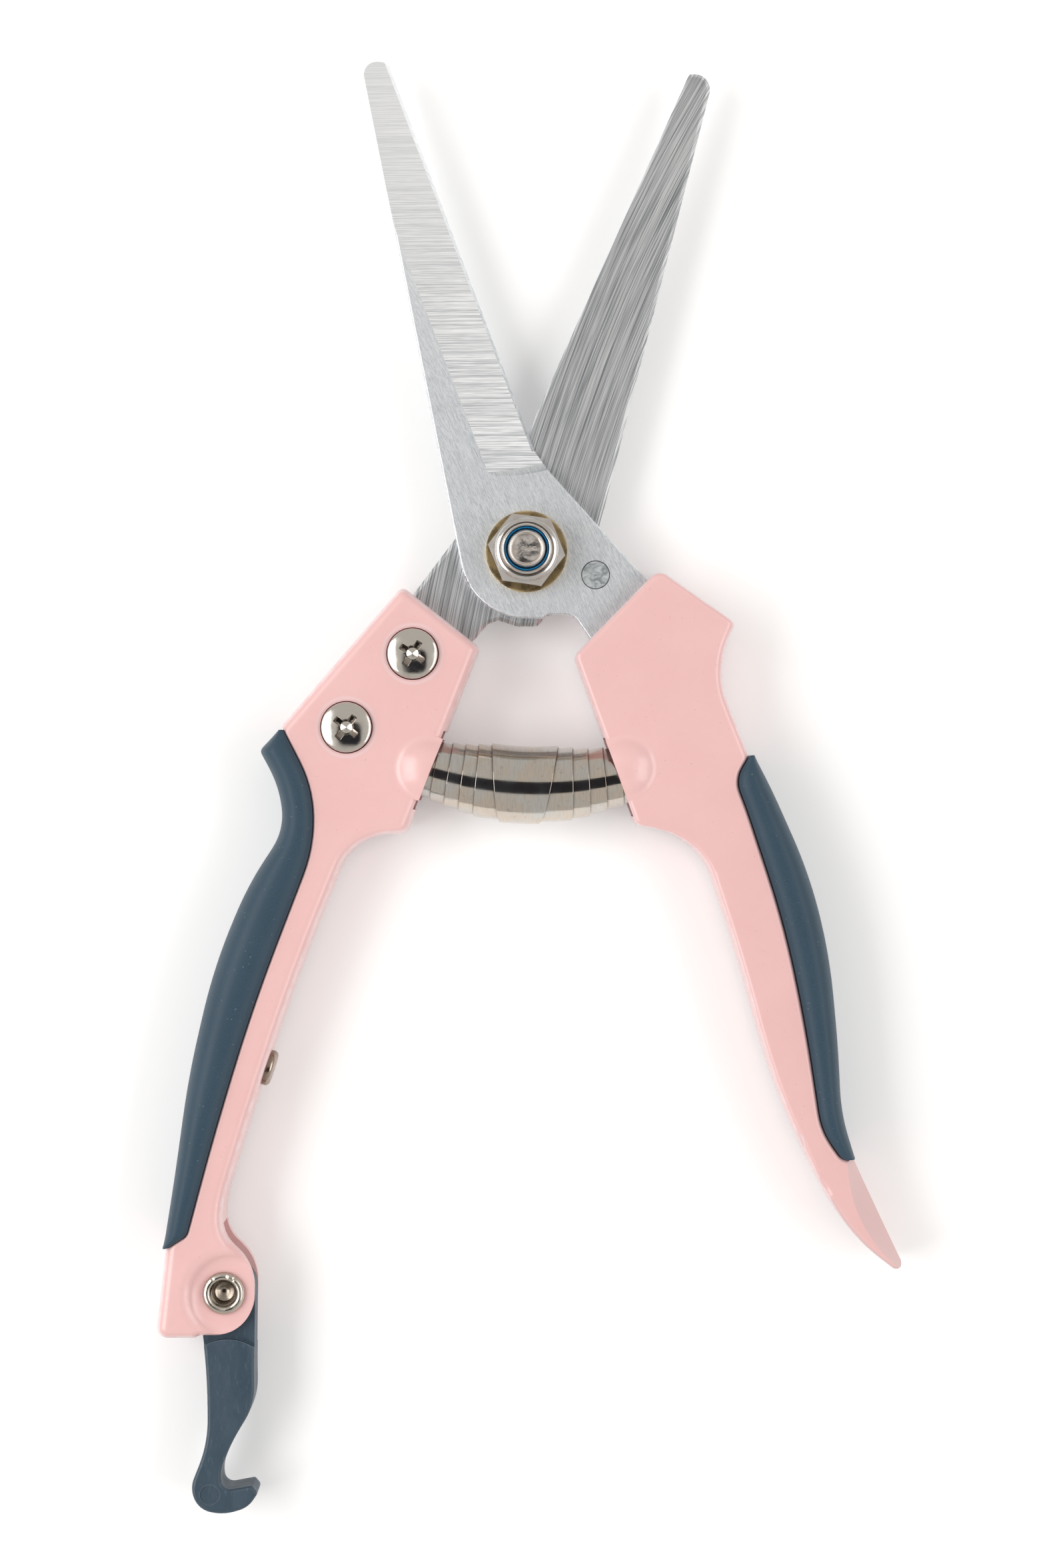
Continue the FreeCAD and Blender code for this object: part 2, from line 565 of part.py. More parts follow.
def build_grip_screw():
    """Small pan-head screw whose head bears in a spot face on the left handle's inner wall."""
    base, axis = grip_screw_seat()
    height = GRIP_SCREW_HEAD[1]
    head = grip_screw_head(height)
    rim = [edge for edge in head.Edges if (edge.CenterOfMass - base).dot(axis) > height - 0.01]
    return head.makeFillet(0.7, rim[:1]).fuse(grip_screw_shank())


def build_spring():
    """Double volute spring: strip rings that telescope outwards from the middle band."""
    middle, band = SPRING_BANDS
    spring = bent_tube(SPRING_OD, -middle, middle)
    for step in range(1, SPRING_STEPS + 1):
        end = middle + step * band
        for side in (-1, 1):
            ring_band = bent_tube(SPRING_OD - 2 * step * SPRING_STRIP, side * (end - 1.4 * band), side * end)
            spring = spring.fuse(ring_band)
    return spring.removeSplitter()


def bent_tube(outer, start, end):
    """Band of strip round the spring's arc between two angles in degrees."""
    centre_x, centre_y, _ = SPRING_ARC
    point, axis = spring_frame(start)
    inner = outer - 2 * SPRING_STRIP - 0.02
    rim, bore = [Part.Face(Part.Wire(Part.makeCircle(d / 2, point, axis))) for d in (outer, inner)]
    return rim.cut(bore).revolve(V(centre_x, centre_y, MATE_Z), V(0, 0, 1), end - start)


def build_all():
    parts = {
        "left_handle": build_left_handle(),
        "right_handle": build_right_handle(),
        "left_grip": build_grip(LEFT_SEAM, LEFT_GRIP, LEFT_RIB, grip_screw_shank()),
        "right_grip": build_grip(RIGHT_SEAM, RIGHT_GRIP, RIGHT_RIB),
        "front_blade": build_front_blade(),
        "rear_blade": build_rear_blade(),
        "stop_pin": cylinder(stop_centre(), STOP_D, FRONT_Z),
        "pivot_bolt": build_pivot_bolt(),
        "head_washer": ring(WASHER_OD, PIVOT_D, (HEAD_H, HEAD_H + HEAD_WASHER_T)),
        "pivot_washer": ring(WASHER_OD, PIVOT_D, (FRONT_Z[1], FRONT_Z[1] + NUT_WASHER_T)),
        "pivot_nut": build_pivot_nut(),
        "nut_nylon_ring": build_nylon_ring(),
        "volute_spring": build_spring(),
        "lock_hook": build_hook(),
        "hook_rivet": build_rivet(),
        "hook_washer": ring(7.5, RIVET_D, WASHER_Z, RIVET),
        "grip_screw": build_grip_screw(),
    }
    for place, centre in LEFT_SCREWS.items():
        parts["rear_blade_screw_" + place] = build_blade_screw(centre, 1)
    for place, centre in RIGHT_SCREWS.items():
        parts["front_blade_screw_" + place] = build_blade_screw(centre, -1)
    return parts


def main():
    os.makedirs("parts", exist_ok=True)
    for name, shape in build_all().items():
        if len(shape.Solids) != 1 or not shape.isValid():
            raise RuntimeError(name + " is not one valid solid")
        shape.Solids[0].exportStep(os.path.join("parts", name + ".step"))


main()
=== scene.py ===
import math

import bmesh
import bpy
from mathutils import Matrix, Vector, noise
from mathutils.bvhtree import BVHTree

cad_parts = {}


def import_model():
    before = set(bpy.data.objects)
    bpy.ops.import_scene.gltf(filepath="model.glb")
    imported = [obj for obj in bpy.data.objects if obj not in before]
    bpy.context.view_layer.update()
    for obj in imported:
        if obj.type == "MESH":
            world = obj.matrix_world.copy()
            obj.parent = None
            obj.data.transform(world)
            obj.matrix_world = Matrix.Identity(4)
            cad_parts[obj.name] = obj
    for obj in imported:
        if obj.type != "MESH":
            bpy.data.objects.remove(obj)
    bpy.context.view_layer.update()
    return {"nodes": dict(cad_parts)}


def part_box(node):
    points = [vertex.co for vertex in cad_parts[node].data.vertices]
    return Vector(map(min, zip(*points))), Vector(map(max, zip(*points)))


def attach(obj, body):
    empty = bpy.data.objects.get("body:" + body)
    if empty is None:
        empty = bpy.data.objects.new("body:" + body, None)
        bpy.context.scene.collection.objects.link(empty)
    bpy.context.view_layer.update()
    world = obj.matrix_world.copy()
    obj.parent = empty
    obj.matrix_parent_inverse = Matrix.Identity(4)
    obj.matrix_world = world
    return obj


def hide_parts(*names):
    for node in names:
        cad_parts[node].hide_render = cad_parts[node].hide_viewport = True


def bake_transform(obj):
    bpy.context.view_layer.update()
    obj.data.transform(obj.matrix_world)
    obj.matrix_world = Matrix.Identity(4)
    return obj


# The looks of the floral snips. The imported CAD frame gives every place; lengths in this
# script are millimetres unless a comment says otherwise, and MM turns them into metres.

MM = 0.001
MIDDLE_Z = 7.0                      # plane where the two blades meet, midway up the handles

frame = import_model()
nodes = frame["nodes"]


def box_mm(node):
    """Lowest and highest corner of a CAD node."""
    low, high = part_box(node)
    return low / MM, high / MM


def node_centre(node):
    """Plan centre of a CAD node."""
    low, high = box_mm(node)
    return (low.x + high.x) / 2, (low.y + high.y) / 2


# ---------------------------------------------------------------- node helpers

LINE_CHANGE_Z = 0.03                # how fast grinding lines change with height


class Shader:
    """A Principled material with short calls for the nodes that feed it."""

    def __init__(self, name, **settings):
        self.material = bpy.data.materials.new(name)
        self.material.use_nodes = True
        self.tree = self.material.node_tree
        self.surface = self.tree.nodes["Principled BSDF"]
        self.set(**settings)
        place = self.add("TexCoord")
        self.place = self.scaled(place.outputs["Object"], (1 / MM,) * 3)
        self.facing = place.outputs["Normal"]

    def set(self, **settings):
        for name, value in settings.items():
            self.plug(self.surface.inputs[name.replace("_", " ")], value)

    def plug(self, socket, value):
        if isinstance(value, bpy.types.NodeSocket):
            self.tree.links.new(value, socket)
        else:
            socket.default_value = value

    def add(self, kind, inputs=None, **settings):
        made = self.tree.nodes.new("ShaderNode" + kind)
        for name, value in settings.items():
            setattr(made, name, value)
        for name, value in (inputs or {}).items():
            self.plug(made.inputs[name], value)
        return made

    def math(self, operation, a, b=0.0, c=0.0):
        return self.add("Math", {0: a, 1: b, 2: c}, operation=operation).outputs[0]

    def separate(self, vector):
        return self.add("SeparateXYZ", {0: vector}).outputs

    def combine(self, x, y, z):
        return self.add("CombineXYZ", {0: x, 1: y, 2: z}).outputs[0]

    def scaled(self, vector, factors):
        return self.add("VectorMath", {0: vector, 1: factors}, operation="MULTIPLY").outputs[0]

    def noise(self, scale, vector=None, detail=2.0, roughness=0.5, distortion=0.0):
        inputs = {"Vector": vector or self.place, "Scale": scale, "Detail": detail,
                  "Roughness": roughness, "Distortion": distortion}
        return self.add("TexNoise", inputs).outputs[0]

    def steps(self, factor, low, high, from_value=0.0, to_value=1.0, smooth=True):
        """factor from low..high mapped onto from_value..to_value, and held outside."""
        inputs = {"Value": factor, "From Min": low, "From Max": high,
                  "To Min": from_value, "To Max": to_value}
        kind = "SMOOTHSTEP" if smooth else "LINEAR"
        return self.add("MapRange", inputs, interpolation_type=kind).outputs[0]

    def mix(self, factor, a, b):
        made = self.add("Mix", data_type="RGBA")
        for socket, value in ((0, factor), (6, a), (7, b)):
            self.plug(made.inputs[socket], value)
        return made.outputs[2]

    def mix_value(self, factor, a, b):
        return self.add("Mix", {0: factor, 2: a, 3: b}, data_type="FLOAT").outputs[0]

    def bump(self, height, depth, strength):
        """Bump whose full height range is depth."""
        inputs = {"Height": height, "Distance": depth * MM, "Strength": strength}
        return self.add("Bump", inputs).outputs[0]

    def edge(self, radius):
        """1 on flat ground, less within radius of a sharp edge."""
        rounded = self.add("Bevel", {"Radius": radius * MM}, samples=4).outputs[0]
        flat = self.add("NewGeometry").outputs["Normal"]
        return self.add("VectorMath", {0: rounded, 1: flat}, operation="DOT_PRODUCT").outputs["Value"]

    def open_sky(self, distance):
        """1 in the open, towards 0 where other surfaces stand within distance."""
        return self.add("AmbientOcclusion", {"Distance": distance * MM}, samples=5).outputs["AO"]

    def offset_from(self, centre):
        """Plan offsets in x and y from a point."""
        x, y, _ = self.separate(self.place)
        return self.math("SUBTRACT", x, centre[0]), self.math("SUBTRACT", y, centre[1])

    def radius_from(self, centre):
        """Plan distance from a point."""
        dx, dy = self.offset_from(centre)
        squares = self.math("ADD", self.math("MULTIPLY", dx, dx), self.math("MULTIPLY", dy, dy))
        return self.math("SQRT", squares)

    def arcs(self, centre, scale, stretch, detail=3.0, roughness=0.6):
        """Grinding lines: noise drawn out along circles round a plan point."""
        dx, dy = self.offset_from(centre)
        reach = math.hypot(*centre) + 1
        along = self.math("MULTIPLY", self.math("ARCTAN2", dy, dx), reach / stretch)
        down = self.math("MULTIPLY", self.separate(self.place)[2], LINE_CHANGE_Z)
        lines_place = self.combine(self.radius_from(centre), along, down)
        return self.noise(scale, lines_place, detail, roughness)


# ---------------------------------------------------------------- mesh helpers

MERGE = 1e-5                        # vertices closer than this are one


def finished(bm, sharp_degrees=40.0):
    """Mesh in metres from a bmesh in millimetres: smooth, with its sharp edges marked."""
    bmesh.ops.remove_doubles(bm, verts=bm.verts, dist=MERGE)
    bmesh.ops.recalc_face_normals(bm, faces=bm.faces)
    for face in bm.faces:
        face.smooth = True
    for edge in bm.edges:
        if len(edge.link_faces) == 2:
            edge.smooth = edge.calc_face_angle() < math.radians(sharp_degrees)
    bmesh.ops.scale(bm, verts=bm.verts, vec=(MM,) * 3)
    mesh = bpy.data.meshes.new("piece")
    bm.to_mesh(mesh)
    bm.free()
    return mesh


def scratch_object(mesh):
    made = bpy.data.objects.new("scratch", mesh)
    bpy.context.scene.collection.objects.link(made)
    return made


def modified(mesh, kind, tool=None, **settings):
    """The mesh after one modifier; tool is a second mesh for a boolean."""
    target = scratch_object(mesh)
    modifier = target.modifiers.new(kind, kind)
    for name, value in settings.items():
        setattr(modifier, name, value)
    helper = None
    if tool is not None:
        helper = scratch_object(tool)
        modifier.object = helper
        modifier.solver = "EXACT"
    shown = target.evaluated_get(bpy.context.evaluated_depsgraph_get())
    result = bpy.data.meshes.new_from_object(shown)
    for spent in (target, helper):
        if spent:
            bpy.data.objects.remove(spent)
    return result


def softened(points, reach, steps=4):
    """Profile whose inner corners are rounded within reach of each corner."""
    line = [Vector(points[0])]
    for before, corner, after in zip(points, points[1:], points[2:]):
        corner = Vector(corner)
        arms = []
        for other in (Vector(before), Vector(after)):
            arm = other - corner
            arms.append(corner + arm.normalized() * min(reach, arm.length / 2))
        for i in range(steps + 1):
            t = i / steps
            line.append(arms[0].lerp(corner, t).lerp(corner.lerp(arms[1], t), t))
    line.append(Vector(points[-1]))
    return line


def lathe(profile, centre=(0.0, 0.0), segments=96, ripple=None):
    """bmesh of revolution about a vertical axis; profile is (radius, z) from axis to axis.

    ripple(x, y, radius) may add to z, for dents and grain that the turning doesn't explain.
    """
    bm = bmesh.new()
    rings = []
    for radius, z in profile:
        row = []
        for i in range(segments if radius > 0 else 1):
            angle = 2 * math.pi * i / segments
            x, y = radius * math.cos(angle), radius * math.sin(angle)
            lift = ripple(x, y, radius) if ripple else 0.0
            row.append(bm.verts.new((centre[0] + x, centre[1] + y, z + lift)))
        rings.append(row)
    for low, high in zip(rings, rings[1:]):
        for i in range(segments):
            j = (i + 1) % segments
            quad = [low[i % len(low)], low[j % len(low)], high[j % len(high)], high[i % len(high)]]
            corners = list(dict.fromkeys(quad))
            if len(corners) > 2:
                bm.faces.new(corners)
    return bm


def prism(corners, low, high, top_scale=1.0):
    """bmesh of a straight or tapered prism about the z axis."""
    bm = bmesh.new()
    floor_ring = [bm.verts.new((x, y, low)) for x, y in corners]
    top_ring = [bm.verts.new((x * top_scale, y * top_scale, high)) for x, y in corners]
    bm.faces.new(floor_ring)
    bm.faces.new(top_ring)
    for i in range(len(corners)):
        j = (i + 1) % len(corners)
        bm.faces.new([floor_ring[i], floor_ring[j], top_ring[j], top_ring[i]])
    return bm


def eased(share):
    """0..1 with a soft start and a soft end."""
    return share * share * (3 - 2 * share)


def tube_of_rings(bm, rings):
    """Join closed rings of vertices end to end and close both ends."""
    for near, far in zip(rings, rings[1:]):
        for i in range(len(near)):
            j = (i + 1) % len(near)
            bm.faces.new([near[i], near[j], far[j], far[i]])
    bm.faces.new(rings[0])
    bm.faces.new(rings[-1])


def show(name, mesh, material, slot, body, *replaced):
    """A finished piece: it rides on a body and stands for the CAD nodes that it replaces."""
    mesh.materials.clear()
    mesh.materials.append(material)
    made = bpy.data.objects.new(name, mesh)
    bpy.context.scene.collection.objects.link(made)
    if body:
        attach(made, body)
    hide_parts(*replaced)
    return made


# ---------------------------------------------------------------- soft grips

GRIP_STATIONS = 150
GRIP_SHOULDER = 12.4                # height where the seam wall turns over into the crown
GRIP_CREST = 0.42                   # place of the crest across the grip, from the seam
GRIP_HALF = (5.9, 7.0)              # half height where the grip runs out, and where it is full
GRIP_FULL_W = 7.0                   # width from which the grip has its full height
GRIP_LEAST_W = 0.7                  # narrower slices at the ends are left out
GRIP_LEAST_CROWN = 0.4              # the crown rises at least this far over the seam wall
GRIP_END = 0.02                     # first and last slice, in from the ends of the grip
GRIP_INSET = 0.03                   # the moulding goes this far into the handle at its seam
GRIP_BELLY = 2 / 2.5                # power of the superellipse on the outer side
SEAM_LOOK_Z = 4.3                   # the seam is measured this far above the middle


def grip_section(seam, outer, y, half_height):
    """Closed section: a wall along the seam, a crown, and a full round outer side."""
    crest = seam + (outer - seam) * GRIP_CREST
    shoulder = min(GRIP_SHOULDER - MIDDLE_Z, half_height - GRIP_LEAST_CROWN)
    upper = [(seam, shoulder * share) for share in (0.0, 0.5, 0.9)]
    seam_steps, belly_steps = 9, 22
    for i in range(seam_steps):
        turn = math.pi / 2 * i / seam_steps
        upper.append((seam + (crest - seam) * (1 - math.cos(turn)),
                      shoulder + (half_height - shoulder) * math.sin(turn)))
    for i in range(belly_steps + 1):
        turn = math.pi / 2 * (1 - i / belly_steps)
        across, rise = math.cos(turn) ** GRIP_BELLY, math.sin(turn) ** GRIP_BELLY
        upper.append((crest + (outer - crest) * across, half_height * rise))
    lower = [(x, -rise) for x, rise in reversed(upper[1:-1])]
    return [(x, y, MIDDLE_Z + rise) for x, rise in upper + lower]


def grip_mesh(node, seam_side):
    """Smooth grip through sections measured on its CAD solid."""
    mesh = nodes[node].data
    points = [vertex.co / MM for vertex in mesh.vertices]
    tree = BVHTree.FromPolygons(points, [tuple(face.vertices) for face in mesh.polygons])
    low, high = box_mm(node)
    bottom, length = low.y + GRIP_END, high.y - low.y - 2 * GRIP_END
    towards = Vector((seam_side, 0, 0))
    stations = []
    for i in range(GRIP_STATIONS + 1):
        share = (1 - math.cos(math.pi * i / GRIP_STATIONS)) / 2
        y = bottom + length * share
        seam = tree.ray_cast(Vector((0, y, MIDDLE_Z + SEAM_LOOK_Z)) + towards * 100, -towards)[0]
        outer = tree.ray_cast(Vector((0, y, MIDDLE_Z)) - towards * 100, towards)[0]
        if seam and outer and abs(seam.x - outer.x) > GRIP_LEAST_W:
            stations.append((y, seam.x, outer.x))
    sides = []
    for i in range(len(stations)):
        window = stations[max(i - 1, 0):i + 2]
        if i in (0, len(stations) - 1):
            window = stations[i:i + 1]
        sides.append([sum(column) / len(window) for column in zip(*window)])
    bm = bmesh.new()
    rings = []
    for y, seam, outer in sides:
        full = eased(min(abs(outer - seam) / GRIP_FULL_W, 1.0))
        half_height = GRIP_HALF[0] + (GRIP_HALF[1] - GRIP_HALF[0]) * full
        section = grip_section(seam - GRIP_INSET * seam_side, outer, y, half_height)
        rings.append([bm.verts.new(point) for point in section])
    tube_of_rings(bm, rings)
    return finished(bm, 50.0)


# ---------------------------------------------------------------- volute spring

SPRING_ARC = (1.8, 21.28, 56.0)     # centre x, y and radius of the bent axis
SPRING_R = 5.9                      # outermost turn
STRIP_T = 0.26
TURN_STEP = 0.165                   # how much the radius falls in half a turn
EDGE_ROUND = 0.035                  # rounding of the strip's edges
HALF_TURNS = 11
STRIP_START = -math.pi / 2 - 0.25   # where the narrow outer end lies, as a turn from the top
WOBBLE = 0.03                       # uneven winding
# Each side: degrees to the edge at the narrow end, its early flare, and what each half
# turn adds.
SPRING_SIDES = {"left": (5.27, 1.55, 1.08), "right": (-0.08, 2.10, 1.25)}


def strip_edge(side, half_turns):
    """Degrees from the middle to the strip's edge: it widens as it winds inwards."""
    start, flare, pitch = SPRING_SIDES[side]
    return start + flare * eased(min(half_turns, 1.0)) + pitch * half_turns


def bent(degrees, radius, turn):
    """Point round the bent axis; turn is 0 on top and a quarter turn on the +Y side."""
    centre_x, centre_y, reach = SPRING_ARC
    a = math.radians(degrees)
    out = reach - radius * math.sin(turn)
    return (centre_x + out * math.sin(a), centre_y - out * math.cos(a),
            MIDDLE_Z + radius * math.cos(turn))


def spring_mesh():
    """One tapered strip rolled up with its narrow end outside, then bent along the arc."""
    per_half, across = 28, 18
    round_off = math.degrees(EDGE_ROUND / SPRING_ARC[2])
    bm = bmesh.new()
    rings = []
    for i in range(HALF_TURNS * per_half + 1):
        wound = i / per_half
        turn = STRIP_START + math.pi * wound
        outer = SPRING_R - TURN_STEP * wound + WOBBLE * math.sin(2.1 * wound)
        left, right = -strip_edge("left", wound), strip_edge("right", wound)
        first, last = left + 2 * round_off, right - 2 * round_off
        row = [left + round_off] + [first + (last - first) * j / across for j in range(across + 1)]
        row.append(right - round_off)
        top = [(a, outer) for a in row]
        under = [(a, outer - STRIP_T) for a in reversed(row)]
        section = top + [(right, outer - EDGE_ROUND)] + under + [(left, outer - EDGE_ROUND)]
        rings.append([bm.verts.new(bent(a, radius, turn)) for a, radius in section])
    tube_of_rings(bm, rings)
    return finished(bm, 65.0)


# ---------------------------------------------------------------- fasteners

HEX_AF = 10.0
HEX_REACH = HEX_AF / math.sqrt(3)   # from the axis to a corner
HEX_H = 4.0                         # hexagons of the nut and of the bolt's head
NUT_TURN = -8.0                     # degrees from +X to one corner of the nut
OVERLAP = 1.0                       # how far one half of a boolean runs into the other
CONE_CLEAR = 0.3                    # the coning blank stands this far outside the corners
BOLT_R = 2.95
BOLT_END_R = 2.1                    # rough middle of the bolt's end
BOLT_END_DEPTH = 0.28               # how far that middle lies below the end's rim


def hexagonal_piece(low, high, turn, blank):
    """Hexagon prism trimmed by a turned blank, whose profile cones its corners."""
    angles = [math.radians(turn + 60 * i) for i in range(6)]
    corners = [(HEX_REACH * math.cos(a), HEX_REACH * math.sin(a)) for a in angles]
    return modified(finished(prism(corners, low, high)), "BOOLEAN",
                    finished(lathe(blank, segments=120)), operation="INTERSECT")


def bright_edges(mesh, width):
    """Small bevels on every sharp edge."""
    return modified(mesh, "BEVEL", width=width * MM, segments=2, limit_method="ANGLE",
                    angle_limit=math.radians(28), harden_normals=False)


def shaded(mesh, sharp_degrees=35.0):
    """The same mesh with smooth faces and its sharp edges marked again."""
    bm = bmesh.new()
    bm.from_mesh(mesh)
    bmesh.ops.scale(bm, verts=bm.verts, vec=(1 / MM,) * 3)
    return finished(bm, sharp_degrees)


def nut_mesh():
    """Hexagon with coned corners, and a rolled crown with two crests round the ring."""
    seat = box_mm("pivot_nut")[0].z
    shoulder = seat + HEX_H
    wide = HEX_REACH + CONE_CLEAR
    blank = [(0, seat), (4.75, seat), (wide, seat + 0.55), (wide, shoulder - 0.95), (4.7, shoulder),
             (0, shoulder)]
    body = hexagonal_piece(seat - OVERLAP, shoulder + OVERLAP, NUT_TURN, blank)
    rise = [(0, -0.6), (4.72, -0.6), (4.72, 0.6), (4.62, 0.95), (4.45, 1.12), (4.10, 1.27), (3.92, 1.3),
            (3.82, 1.18), (3.78, 1.5), (3.70, 1.8), (3.55, 1.95), (3.40, 2.0), (3.27, 1.85), (3.22, 1.1),
            (0, 1.1)]
    crown = softened([(r, shoulder + z) for r, z in rise], 0.12)
    return shaded(modified(body, "BOOLEAN", finished(lathe(crown, segments=120)), operation="UNION"))


def crumple(x, y, radius):
    """Sheared, rough middle of the bolt's end."""
    if radius >= BOLT_END_R:
        return 0.0
    fade = 1 - (radius / BOLT_END_R) ** 6
    place = Vector((x, y, 0))
    coarse = noise.noise(place * 0.9 + Vector((3.1, 0, 0)))
    ridge = 1 - abs(noise.noise(place * 0.8 + Vector((0, 7.3, 0)))) * 3
    fine = noise.noise(place * 5.0)
    return fade * (0.03 * coarse + 0.025 * ridge + 0.02 * fine)


def bolt_mesh():
    """Hex head below, shank, and a chamfered end with a crumpled middle."""
    low, high = box_mm("pivot_bolt")
    seat, end = low.z + HEX_H, high.z
    wide = HEX_REACH + CONE_CLEAR
    blank = [(0, low.z), (4.8, low.z), (wide, low.z + 0.5), (wide, seat), (0, seat)]
    head = hexagonal_piece(low.z - OVERLAP, seat, 0.0, blank)
    rings = 16
    middle = [(BOLT_END_R * i / rings, end - BOLT_END_DEPTH) for i in range(rings + 1)]
    chamfer = softened([(BOLT_END_R, end - BOLT_END_DEPTH), (2.25, end), (2.45, end - 0.02),
                        (2.8, end - 0.55), (BOLT_R, end - 1.4), (BOLT_R, seat - OVERLAP)], 0.16)
    profile = middle + chamfer + [(0, seat - OVERLAP)]
    shank = finished(lathe(profile, ripple=crumple), 60)
    return shaded(modified(head, "BOOLEAN", shank, operation="UNION"))


SCREW_HEAD_H = 2.3
DOME_TOP = 2.28                     # height of the dome over the head's seat
DOME_R = 11.0                       # radius of the dome in section
DOME_EDGE = 3.4                     # where the dome turns down into the rim
RECESS_ARM = (1.85, 0.44)           # half length and half width of a bar of the cross
RECESS_Z = (1.25, 2.6)              # floor of the bars, and clear above the dome
RECESS_TAPER = 1.14


def screw_profile():
    """Flat-domed head, from the axis over the dome and down to a stub of its shank."""
    steps = 14
    radii = [DOME_EDGE * i / steps for i in range(steps + 1)]
    dome = [(r, DOME_TOP - r * r / (2 * DOME_R)) for r in radii]
    rim = [(3.6, 1.68), (3.72, 1.5), (3.75, 1.25), (3.74, 0.3), (3.6, 0.0)]
    return dome + rim + [(2.0, 0.0), (2.0, -1.0), (0, -1.0)]


def cross_tools(turn):
    """Two tapered bars and a pointed core of a cross recess that opens upwards."""
    tools = []
    for angle in (turn, turn + 90):
        a = math.radians(angle)
        corners = []
        for u, v in ((-1, -1), (1, -1), (1, 1), (-1, 1)):
            along, across = u * RECESS_ARM[0], v * RECESS_ARM[1]
            corners.append((along * math.cos(a) - across * math.sin(a),
                            along * math.sin(a) + across * math.cos(a)))
        tools.append(finished(prism(corners, *RECESS_Z, top_scale=RECESS_TAPER)))
    core = [(0, 0.80), (0.08, 0.83), (0.90, 1.15), (0.96, 1.27), (1.22, 2.6), (0, 2.6)]
    tools.append(finished(lathe(core, segments=32)))
    return tools


def screw_mesh(turn):
    """Pan-head screw top, standing at the origin with its seat at z = 0."""
    mesh = finished(lathe(screw_profile(), segments=72))
    for tool in cross_tools(turn):
        mesh = modified(mesh, "BOOLEAN", tool, operation="DIFFERENCE")
    return shaded(bright_edges(mesh, 0.05), 50.0)


def placed(mesh, centre, z, upwards):
    """Move a piece's mesh to a plan place; upwards False turns it over."""
    flip = 1 if upwards else -1
    for vertex in mesh.vertices:
        x, y, height = vertex.co
        vertex.co = (x + centre[0] * MM, y * flip + centre[1] * MM, height * flip + z * MM)
    return mesh


# Degrees from +X to one arm of each screw's cross.
SCREW_TURNS = {"rear_blade_screw_upper": 57, "rear_blade_screw_lower": 52,
               "front_blade_screw_upper": 20, "front_blade_screw_lower": 75}


def blade_screws():
    """Four blade screws: two heads on the upper face, two underneath."""
    for node, turn in SCREW_TURNS.items():
        low, high = box_mm(node)
        centre = node_centre(node)
        upwards = node.startswith("rear")
        seat = high.z - SCREW_HEAD_H if upwards else low.z + SCREW_HEAD_H
        body = "left_half" if upwards else "right_half"
        mesh = placed(screw_mesh(turn), centre, seat, upwards)
        show(node + "_head", mesh, SCREW_PLATE, "plated_steel", body, node)


def rivet_mesh():
    """Semi-tubular rivet: domed head below, rolled and slightly split rim on top."""
    low, high = box_mm("hook_rivet")
    centre = node_centre("hook_rivet")
    top = high.z
    head = [(0, low.z), (1.7, low.z + 0.12), (2.75, low.z + 0.5), (3.1, low.z + 1.1),
            (2.2, low.z + 1.12)]
    rim = [(2.2, top - 0.95), (3.1, top - 0.93), (3.14, top - 0.45), (2.85, top - 0.1), (2.45, top),
           (2.12, top - 0.12), (1.85, top - 0.55), (1.62, top - 0.8), (1.55, top - 1.1),
           (1.5, top - 2.3), (0.9, top - 2.55), (0, top - 2.95)]
    line = softened(head + rim, 0.16, 3)

    def rolled(x, y, radius):
        """Dents of the rolled rim, and its three short splits."""
        if not 1.9 < radius < 3.3:
            return 0.0
        angle = math.atan2(y, x)
        dents = 0.05 * noise.noise(Vector((x * 0.9, y * 0.9, 2.0)))
        split = sum(math.exp(-((angle - place) / 0.05) ** 2) for place in (0.95, 1.35, 2.2))
        return dents - 0.16 * split * max(0.0, 1 - abs(radius - 2.7) / 0.7)

    return finished(lathe(line, centre, 144, rolled), 50.0)


# ---------------------------------------------------------------- materials

PIVOT = (0.0, 0.0)
SCOOP = (-43.9, -110.6)             # centre of the scoop in the ears
SCOOP_R = 7.8                       # rim of the scoop
TAIL = (57.5, -97.0)                # centre of the facets on the right handle's tail
TAIL_R = 12.0                       # reach of those facets
SCREW_SEAT_R = 4.0                  # counterbore of a blade screw
PIN_R = 2.0                         # stop pin
WASHER_R = 5.85                     # where the washer's clean rim starts
# Plan centres of the circles that each grinding follows.
FLAT_GRIND = (-420.0, -190.0)
BEVEL_GRIND = (10.0, -420.0)
REAR_GRIND = (245.0, -60.0)


def grey(value, warmth=0.0):
    """A grey, redder and less blue by the share warmth."""
    return (value * (1 + warmth), value, value * (1 - warmth), 1)


def times(colour, factors):
    """A colour with each channel scaled."""
    return tuple(c * f for c, f in zip(colour[:3], factors)) + (1,)


